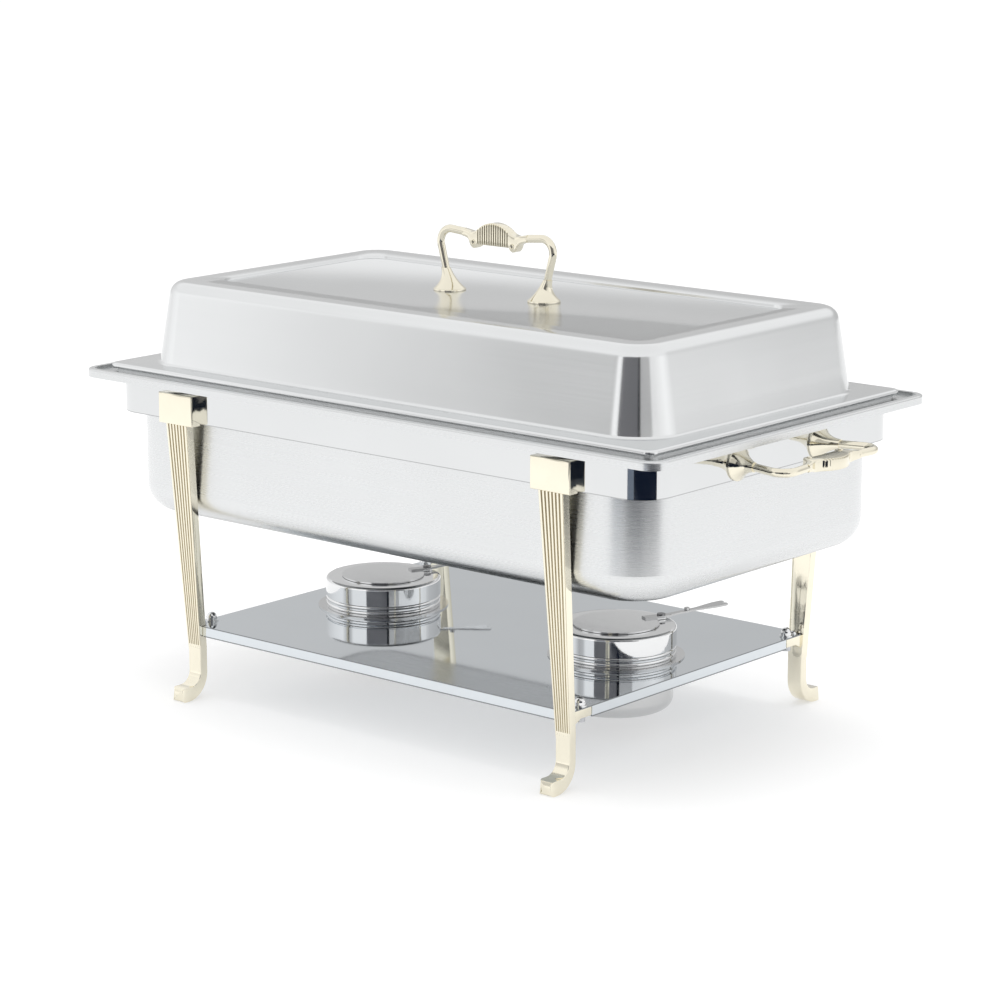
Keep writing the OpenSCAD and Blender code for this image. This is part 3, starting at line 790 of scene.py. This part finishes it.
def grip(metals):
    """Ribbed grip with a smooth crest and a scroll under each end."""
    crest, radius = RIB_CREST

    def top_at(x):
        """Height of the crest at x."""
        return crest - radius + math.sqrt(radius ** 2 - x ** 2)

    stations = [(0, RIB_UNDERSIDE, top_at(0), RIB_THICK)]
    for k in range(RIB_COUNT):
        for share, thick in RIB_SHAPE:
            x = (k + share) * RIB_PITCH
            stations.append((x, RIB_UNDERSIDE, top_at(x), thick))
    stations += GRIP_STATIONS
    x, low, high, thick = stations[0]
    made = start("grip", bpy.ops.mesh.primitive_plane_add, size=1)
    grow(((high - low) * MM, 2 * thick * MM, 1), (0, 0, 0))
    bpy.ops.mesh.bevel(offset=1.6 * MM, segments=4, affect="VERTICES")
    shift(((high + low) / 2 * MM, 0, 0))
    # The section lies flat; its x is height, so the whole grip is turned upright at the end.
    centre = (high + low) / 2 * MM
    end_groups(made, {"top": lambda p: p.x > centre, "under": lambda p: p.x <= centre})
    bpy.ops.mesh.select_mode(type="FACE")
    was = (x, low, high, thick)
    for station in stations[1:]:
        go = (station[0] - was[0]) * MM
        next_section(made, {"top": ((station[2] - was[2]) * MM, 0, go),
                            "under": ((station[1] - was[1]) * MM, 0, go)},
                     (1, station[3] / was[3], 1), (0, 0, 0))
        was = station
    pick(made, "faces", lambda f: middle(f).z < 0.1 * MM and len(f.verts) > 10)
    bpy.ops.mesh.delete(type="FACE")
    finish_mesh(made, 28)
    # Height along X becomes Z, and the run along Z becomes X.
    place(made, (0, 0, 0), (0, math.radians(90), 0))
    place(made, (0, 0, 0), (0, 0, 0), (1, 1, -1))
    add_modifier(made, "MIRROR", use_axis=(True, False, False), use_clip=True,
                 merge_threshold=0.02 * MM)
    finish_mesh(made, 28)
    coat(made, *metals)
    # Faces in the grooves take the darker brass: painted shade and dirt.
    mark_faces(made, lambda f: abs(f.center.x) < RIB_COUNT * RIB_PITCH * MM and
               abs(f.normal.y) > 0.3 and abs(f.center.y) < (GROOVE_THICK + GROOVE_MARGIN) * MM and
               f.center.z < RIB_CREST[0] * MM - CREST_RIM * MM -
               CREST_CURVE * (f.center.x / MM) ** 2 * MM)
    return made


def scroll_eye(side, metals):
    """Small boss in the middle of a scroll, through the whole grip."""
    eye = start("eye", bpy.ops.mesh.primitive_cylinder_add, vertices=24, radius=EYE_RADIUS,
                depth=EYE_LENGTH)
    pick(eye, "faces", lambda f: abs(middle(f).z) > 5 * MM)
    bpy.ops.mesh.inset(thickness=0.6 * MM, depth=0.0)
    bpy.ops.mesh.inset(thickness=0.5 * MM, depth=-0.7 * MM)
    pick(eye, "edges", lambda e: min(abs(v.co.z) for v in e.verts) > EYE_LENGTH / 2 - 0.1 * MM and
         min(v.co.xy.length for v in e.verts) > EYE_RADIUS - 0.1 * MM)
    bpy.ops.mesh.bevel(offset=0.3 * MM, segments=2)
    finish_mesh(eye, 40)
    place(eye, (side * EYE_AT[0], 0, EYE_AT[1]), (math.radians(90), 0, 0))
    return coat(eye, *metals)


def handle_model(name, span, metals):
    """A whole handle standing on z = 0 along X."""
    half = span / 2
    parts = [grip(metals), scroll_eye(1, metals), scroll_eye(-1, metals)]
    for side in (1, -1):
        for part in (handle_foot(half, metals), handle_arm(half, metals)):
            place(part, (0, 0, 0), (0, 0, 0), (side, 1, 1))
            parts.append(part)
    return join(name, parts)


class CHAFER_OT_handles(bpy.types.Operator):
    """Model the cover handle and the two end handles"""

    bl_idname = "chafer.handles"
    bl_label = "Handles"

    def execute(self, context):
        look = context.scene.chafer_finish
        # The second brass is darker: painted shade and dirt in the grip's grooves, painted shade
        # in the step at each foot's base.
        metals = (cast_metal("handle_pale_brass", scaled(look.brass, 0.91), 0.05, 0.11, 0.05),
                  cast_metal("handle_groove_brass", scaled(look.brass, 0.66), 0.18, 0.28, 0.05))
        handle = handle_model("cover_handle_casting", COVER_SPAN, metals)
        place(handle, (0, 0, PANEL_Z))
        settle(handle, "cover", "handle_brass", "cover_handle")
        model = handle_model("end_handle_model", END_SPAN, metals)
        for end, side in (("right", 1), ("left", -1)):
            handle = copy_piece(model, f"end_handle_casting_{end}")
            place(handle, (0, 0, 0), (0, 0, math.radians(90)))
            place(handle, (0, 0, 0), (0, math.radians(90), 0))
            place(handle, (BAND_END, 0, END_HEIGHT))
            if side < 0:
                place(handle, (0, 0, 0), (0, 0, 0), (-1, 1, 1))
            settle(handle, "stand", "handle_brass", f"end_handle_{end}")
        bpy.data.objects.remove(model)
        return {"FINISHED"}


# ---------- cover ----------

FLANGE_TOP = 277.7 * MM
COVER_TOP = 346.2 * MM
WALL_HALF = (268.5 * MM, 145.5 * MM)
WALL_CORNER = 38 * MM
WALL_LEAN = math.radians(9.2)
BASE_FILLET = 3.2 * MM
TOP_FILLET = 12 * MM
FLANGE_HALF = (288.3 * MM, 164.7 * MM)
FLANGE_CORNER = 8 * MM
FLANGE_SKIRT = 4.1 * MM
FLANGE_EDGE = 2.4 * MM
COVER_SHEET = 1 * MM
PANEL_HALF = (227.3 * MM, 97.6 * MM)
PANEL_CORNER = 19.3 * MM
PANEL_STEPS = ((0.2, -0.1), (0.2, -0.35), (0.25, -1.8), (0.2, -0.35), (0.2, -0.1))
CORNER_SEGMENTS = 20


def rounded_plate(half, corner, height):
    """Adds a rounded rectangle face in edit mode, selected."""
    bpy.ops.mesh.primitive_plane_add(size=2, location=(0, 0, height))
    grow((half[0], half[1], 1), (0, 0, height))
    bpy.ops.mesh.bevel(offset=corner, segments=CORNER_SEGMENTS, affect="VERTICES",
                       clamp_overlap=False)


def rings(steps):
    """Insets the selected face by each (inward, upward) step."""
    for inward, upward in steps:
        bpy.ops.mesh.inset(thickness=inward, depth=upward)


def arc_steps(radius, start_angle, end_angle, count, rising):
    """(inward, upward) steps along a fillet, hollow when rising is true and round when not."""
    points = []
    for k in range(count + 1):
        a = start_angle + (end_angle - start_angle) * k / count
        points.append((radius * math.sin(a), radius * (1 - math.cos(a))) if rising
                      else (-radius * math.cos(a), radius * math.sin(a)))
    return [(b[0] - a[0], b[1] - a[1]) for a, b in zip(points, points[1:])]


def open_at(height):
    """Test for the open edges at a height."""
    def test(e):
        """Open edge with both ends at the height."""
        return len(e.link_faces) == 1 and all(abs(v.co.z - height) < NEAR for v in e.verts)
    return test


def cover_pressing():
    """The drawn cover: flange with a skirt, leaning wall, soft top edge and sunken panel."""
    slope = math.pi / 2 - WALL_LEAN
    base_rise = BASE_FILLET * (1 - math.cos(slope))
    base_out = BASE_FILLET * math.sin(slope) - base_rise * math.tan(WALL_LEAN)
    cover = start("cover_pressing", bpy.ops.mesh.primitive_plane_add, size=1)
    bpy.ops.mesh.delete(type="VERT")
    rounded_plate([h + base_out for h in WALL_HALF], WALL_CORNER + base_out, FLANGE_TOP)
    bpy.ops.mesh.select_mode(type="FACE")
    rings(arc_steps(BASE_FILLET, 0, slope, 6, True))
    wall_start = FLANGE_TOP + base_rise
    wall_end = COVER_TOP - TOP_FILLET * (1 - math.sin(WALL_LEAN))
    for _ in range(4):
        rise = (wall_end - wall_start) / 4
        rings([(rise * math.tan(WALL_LEAN), rise)])
    rings(arc_steps(TOP_FILLET, WALL_LEAN, math.pi / 2, 12, False))
    bpy.ops.mesh.delete(type="ONLY_FACE")
    # The panel goes in the middle of the top, and a flat border joins the two outlines.
    rounded_plate(PANEL_HALF, PANEL_CORNER, COVER_TOP)
    bpy.ops.mesh.select_mode(type="FACE")
    rings([(a * MM, b * MM) for a, b in PANEL_STEPS])
    pick(cover, "edges", open_at(COVER_TOP))
    bpy.ops.mesh.bridge_edge_loops()
    # The flange rises from the foot of its skirt, turns in, and joins the wall's outline.
    foot = FLANGE_TOP - FLANGE_SKIRT
    rounded_plate(FLANGE_HALF, FLANGE_CORNER, foot)
    bpy.ops.mesh.select_mode(type="FACE")
    extrude((0, 0, FLANGE_SKIRT - FLANGE_EDGE))
    rings(arc_steps(FLANGE_EDGE, 0, math.pi / 2, 5, False))
    bpy.ops.mesh.delete(type="ONLY_FACE")
    # The plate the flange grew from would close the underside, so it goes.
    pick(cover, "faces", lambda f: all(abs(v.co.z - foot) < NEAR for v in f.verts))
    bpy.ops.mesh.delete(type="ONLY_FACE")
    pick(cover, "edges", open_at(FLANGE_TOP))
    bpy.ops.mesh.bridge_edge_loops()
    finish_mesh(cover, 40)
    upward = max(cover.data.polygons, key=lambda f: f.area).normal.z
    if upward < 0:
        bpy.ops.object.mode_set(mode="EDIT")
        bpy.ops.mesh.select_all(action="SELECT")
        bpy.ops.mesh.flip_normals()
        bpy.ops.object.mode_set(mode="OBJECT")
    add_modifier(cover, "SOLIDIFY", thickness=COVER_SHEET, offset=-1, use_even_offset=True)
    finish_mesh(cover, 35, outward=False)
    return cover


class CHAFER_OT_cover(bpy.types.Operator):
    """Model the drawn cover"""

    bl_idname = "chafer.cover"
    bl_label = "Cover"

    def execute(self, context):
        steel = tuple(context.scene.chafer_finish.steel)
        material = sheet_metal("cover_satin_steel", steel, 0.12, 0.20, 0.04)
        settle(coat(cover_pressing(), material), "cover", "cover_steel", "cover_shell")
        return {"FINISHED"}


# ---------- parts that keep their CAD mesh ----------

# The rivet under the damper lever is near black: painted shade under the lever.
RIVET_SHADE_COLOUR = (0.25, 0.25, 0.26)
# Painted shade lines along the edges of a piece: lowest and highest height, line, and share of
# the colour.
BAND_SHADE_LINES = (238 * MM, 269.4 * MM, 0.8 * MM, 0.6)
SHELF_SHADE_LINES = (53.3 * MM, 62.4 * MM, 1.1 * MM, 0.3)
# Below this height the water pan is darkened with painted shade.
PAN_SHADE_TOP = 158 * MM


def both(stem):
    """Names of the left and the right node of a stem."""
    return stem + "_left", stem + "_right"


class CHAFER_OT_sheet_parts(bpy.types.Operator):
    """Dress the pressed and folded steel parts"""

    bl_idname = "chafer.sheet_parts"
    bl_label = "Sheet metal parts"

    def execute(self, context):
        look = context.scene.chafer_finish
        steel = tuple(look.steel)
        dress(sheet_metal("band_mirror_steel", scaled(steel, 0.93), 0.05, 0.09, 0.02,
                          edges=BAND_SHADE_LINES), "support_band")
        dress(sheet_metal("shelf_mirror_steel", tuple(look.shelf_steel), 0.03, 0.06, 0.01,
                          edges=SHELF_SHADE_LINES), "shelf")
        dress(sheet_metal("water_pan_satin_steel", scaled(steel, 0.95), 0.24, 0.31, 0.008,
                          shade_below=PAN_SHADE_TOP), "water_pan")
        dress(sheet_metal("food_pan_satin_steel", scaled(steel, 0.96), 0.20, 0.30, 0.06),
              "food_pan")
        return {"FINISHED"}


class CHAFER_OT_fixings(bpy.types.Operator):
    """Dress the screws, washers, nuts and pins"""

    bl_idname = "chafer.fixings"
    bl_label = "Fixings"

    def execute(self, context):
        look = context.scene.chafer_finish
        dull = tuple(look.dull_steel)
        dress(cast_metal("screw_plated_steel", dull, 0.25, 0.40, 0.15),
              "leg_screws", "shelf_screws", "end_handle_screws", "cover_handle_screws",
              "leg_backing_plates")
        dress(cast_metal("washer_dull_steel", scaled(dull, 1.1), 0.30, 0.45, 0.1),
              "end_handle_washers", "cover_handle_washers")
        dress(cast_metal("nut_bright_chrome", tuple(look.chrome), 0.05, 0.12, 0.05),
              "shelf_cap_nuts", "shelf_pins")
        return {"FINISHED"}


class CHAFER_OT_fuel_holders(bpy.types.Operator):
    """Dress the fuel cups, their hoods and the dampers"""

    bl_idname = "chafer.fuel_holders"
    bl_label = "Fuel holders"

    def execute(self, context):
        chrome = tuple(context.scene.chafer_finish.chrome)
        dress(sheet_metal("cup_satin_steel", scaled(chrome, 0.80), 0.10, 0.18, 0.03),
              *both("fuel_cup"))
        dress(sheet_metal("hood_bright_steel", chrome, 0.05, 0.10, 0.02), *both("fuel_hood"))
        dress(sheet_metal("disc_satin_steel", scaled(chrome, 0.98), 0.14, 0.22, 0.04),
              *both("damper_disc"))
        dress(cast_metal("lever_bright_steel", scaled(chrome, 0.62), 0.10, 0.20, 0.10),
              *both("damper_lever"))
        dress(cast_metal("rivet_dark_steel", RIVET_SHADE_COLOUR, 0.25, 0.40, 0.1),
              *both("damper_rivet"))
        return {"FINISHED"}


class CHAFER_OT_stage(bpy.types.Operator):
    """Make the floor, the light and the camera"""

    bl_idname = "chafer.stage"
    bl_label = "Stage"

    def execute(self, context):
        clear_selection()
        scene = context.scene
        values = scene.chafer_stage
        scene.view_settings.view_transform = "Standard"
        make_world(scene)
        make_floor()
        make_lamps()
        make_cards()
        make_camera(scene, values)
        return {"FINISHED"}


def make_world(scene):
    """A white room, brighter above, whose low walls change softly round the object."""
    world = bpy.data.worlds.new("studio")
    scene.world = world
    world.use_nodes = True
    tree = world.node_tree
    back = tree.nodes["Background"]
    coords = tree.nodes.new("ShaderNodeTexCoord")
    split = tree.nodes.new("ShaderNodeSeparateXYZ")
    tree.links.new(coords.outputs["Generated"], split.inputs[0])
    turn = tree.nodes.new("ShaderNodeMath")
    turn.operation = "ARCTAN2"
    tree.links.new(split.outputs["X"], turn.inputs[0])
    front = tree.nodes.new("ShaderNodeMath")
    front.operation = "MULTIPLY"
    front.inputs[1].default_value = -1
    tree.links.new(split.outputs["Y"], front.inputs[0])
    tree.links.new(front.outputs[0], turn.inputs[1])
    share = tree.nodes.new("ShaderNodeMapRange")
    tree.links.new(turn.outputs[0], share.inputs[0])
    share.inputs[1].default_value = -math.pi
    share.inputs[2].default_value = math.pi
    walls = tone_ramp(tree, share.outputs[0], WALL_TONES)
    height = tone_ramp(tree, split.outputs["Z"], HEIGHT_TONES)
    up = tree.nodes.new("ShaderNodeMapRange")
    up.interpolation_type = "SMOOTHSTEP"
    tree.links.new(split.outputs["Z"], up.inputs[0])
    up.inputs[1].default_value = WALL_BLEND[0]
    up.inputs[2].default_value = WALL_BLEND[1]
    mix = tree.nodes.new("ShaderNodeMix")
    mix.data_type = "RGBA"
    tree.links.new(up.outputs[0], mix.inputs[0])
    tree.links.new(walls, mix.inputs[6])
    tree.links.new(height, mix.inputs[7])
    tree.links.new(mix.outputs[2], back.inputs["Color"])
    back.inputs["Strength"].default_value = WORLD_STRENGTH


def tone_ramp(tree, value, stops):
    """Colour ramp of greys from (place, tone) stops."""
    ramp = tree.nodes.new("ShaderNodeValToRGB")
    tree.links.new(value, ramp.inputs[0])
    elements = ramp.color_ramp.elements
    elements[0].position, elements[1].position = stops[0][0], stops[-1][0]
    for element, stop in ((elements[0], stops[0]), (elements[1], stops[-1])):
        element.color = (stop[1], stop[1], stop[1], 1)
    for spot, tone in stops[1:-1]:
        elements.new(spot).color = (tone, tone, tone, 1)
    return ramp.outputs[0]


def make_cards():
    """Dark and grey cards that only reflections see, which draw the polished corners."""
    for name, azimuth, distance, width, low, high, tone in CARDS:
        material = bpy.data.materials.new(name + "_cloth")
        material.use_nodes = True
        shader = material.node_tree.nodes["Principled BSDF"]
        shader.inputs["Base Color"].default_value = (*tone, 1)
        shader.inputs["Roughness"].default_value = 0.9
        shader.inputs["Specular IOR Level"].default_value = 0.0
        bpy.ops.mesh.primitive_plane_add(size=1)
        card = bpy.context.object
        card.name = name
        angle = math.radians(azimuth)
        place(card, (0, 0, 0), (math.radians(90), 0, 0), (width, high - low, 1))
        place(card, (distance * math.sin(angle), -distance * math.cos(angle), (low + high) / 2),
              (0, 0, angle))
        card.data.materials.append(material)
        card.visible_camera = False
        card.visible_diffuse = False
        card.visible_shadow = False


# Tones round the horizon from straight behind, by the front at a half, to behind again.
WALL_TONES = (
    (0.0, 0.52), (0.11, 0.52), (0.20, 0.70), (0.30, 0.92), (0.365, 1.0), (0.40, 0.52),
    (0.425, 0.60), (0.44, 0.98), (0.60, 0.98), (0.66, 0.86), (0.74, 0.84), (0.82, 1.0),
    (0.875, 0.86), (0.91, 0.62), (1.0, 0.52),
)
# Tones from the horizon up.
HEIGHT_TONES = ((0.0, 0.66), (0.3, 0.78), (0.55, 0.88), (1.0, 0.84))
WORLD_STRENGTH = 1.22
# Upward parts of a direction between which the wall tones give way to the height tones.
WALL_BLEND = (0.26, 0.5)
FLOOR_TONE = 0.62
FLOOR_GLOW = 0.42
# Sideways and upward shift of the view, as shares of the sensor's width.
CAMERA_SHIFT = (0.00375, -0.0073)
# Name, azimuth in degrees, distance, width, lower and upper edge, and colour.
CARDS = (
    ("card_low", 53.0, 1.12, 1.20, 0.0, 0.33, (0.006, 0.010, 0.022)),
    ("card_navy", 18.0, 1.13, 0.34, 0.0, 0.20, (0.16, 0.19, 0.24)),
    ("card_near", 46.0, 0.80, 0.30, 0.055, 0.12, (0.05, 0.06, 0.08)),
    ("card_wide", 24.0, 1.16, 0.90, 0.20, 0.85, (0.16, 0.16, 0.17)),
    ("card_slim", 47.0, 1.14, 0.09, 0.20, 0.85, (0.004, 0.005, 0.008)),
    ("card_pale", 60.0, 1.18, 0.46, 0.33, 0.85, (0.50, 0.50, 0.50)),
    ("card_rear", 223.0, 1.15, 0.40, 0.0, 0.24, (0.02, 0.02, 0.03)),
)


def make_floor():
    """A wide pale floor."""
    bpy.ops.mesh.primitive_plane_add(size=40)
    floor = bpy.context.object
    floor.name = "floor"
    bpy.ops.object.transform_apply(location=True, rotation=True, scale=True)
    material = bpy.data.materials.new("floor_white")
    material.use_nodes = True
    shader = material.node_tree.nodes["Principled BSDF"]
    shader.inputs["Base Color"].default_value = (FLOOR_TONE, FLOOR_TONE, FLOOR_TONE, 1)
    shader.inputs["Roughness"].default_value = 0.95
    shader.inputs["Specular IOR Level"].default_value = 0.0
    shader.inputs["Emission Color"].default_value = (1, 1, 1, 1)
    shader.inputs["Emission Strength"].default_value = FLOOR_GLOW
    floor.data.materials.append(material)


def lamp(name, place, aim, width, height, power):
    """A soft rectangular lamp at a place, turned to a point."""
    bpy.ops.object.light_add(type="AREA", location=place)
    made = bpy.context.object
    made.name = name
    made.data.shape = "RECTANGLE"
    made.data.size = width
    made.data.size_y = height
    made.data.energy = power
    made.visible_glossy = False
    made.rotation_euler = (Vector(aim) - Vector(place)).to_track_quat("-Z", "Y").to_euler()
    return made


def make_lamps():
    """The soft lamps, which reflections don't see."""
    lamp("overhead_softbox", (0.0, 0.1, 2.4), (0, 0, 0.2), 2.2, 1.6, 20)
    lamp("left_softbox", (-2.6, -1.6, 1.5), (0, 0, 0.3), 1.6, 1.6, 4)


def make_camera(scene, values):
    """The camera, turned to its target."""
    azimuth = values.azimuth
    elevation = values.elevation
    back = Vector((math.sin(azimuth) * math.cos(elevation),
                   -math.cos(azimuth) * math.cos(elevation), math.sin(elevation)))
    target = Vector((0, 0, values.target_height))
    bpy.ops.object.camera_add(location=target + back * values.distance)
    camera = bpy.context.object
    camera.name = "camera"
    camera.rotation_euler = (-back).to_track_quat("-Z", "Y").to_euler()
    camera.data.lens = values.lens
    camera.data.sensor_width = 36
    camera.data.shift_x, camera.data.shift_y = CAMERA_SHIFT
    camera.data.clip_end = 100
    scene.camera = camera


OPERATORS = (
    CHAFER_OT_sheet_parts, CHAFER_OT_legs, CHAFER_OT_cover, CHAFER_OT_handles,
    CHAFER_OT_fixings, CHAFER_OT_fuel_holders, CHAFER_OT_stage,
)


class CHAFER_PT_build(bpy.types.Panel):
    """Steps of the build and the values they use"""

    bl_idname = "CHAFER_PT_build"
    bl_label = "Chafer"
    bl_space_type = "VIEW_3D"
    bl_region_type = "UI"
    bl_category = "Chafer"

    def draw(self, context):
        layout = self.layout
        for group in (context.scene.chafer_finish, context.scene.chafer_stage):
            for key in group.__annotations__:
                layout.prop(group, key)
        for operator in OPERATORS:
            layout.operator(operator.bl_idname)


CLASSES = (ChaferFinish, ChaferStage, *OPERATORS, CHAFER_PT_build)


def register():
    """Registers the classes and the values they use."""
    for cls in CLASSES:
        bpy.utils.register_class(cls)
    bpy.types.Scene.chafer_finish = bpy.props.PointerProperty(type=ChaferFinish)
    bpy.types.Scene.chafer_stage = bpy.props.PointerProperty(type=ChaferStage)


def unregister():
    """Removes what register added."""
    del bpy.types.Scene.chafer_finish
    del bpy.types.Scene.chafer_stage
    for cls in reversed(CLASSES):
        bpy.utils.unregister_class(cls)


def main():
    """Builds everything in order."""
    register()
    for operator in OPERATORS:
        clear_selection()
        group, name = operator.bl_idname.split(".")
        getattr(getattr(bpy.ops, group), name)()
    clear_selection()


if __name__ == "__main__":
    main()
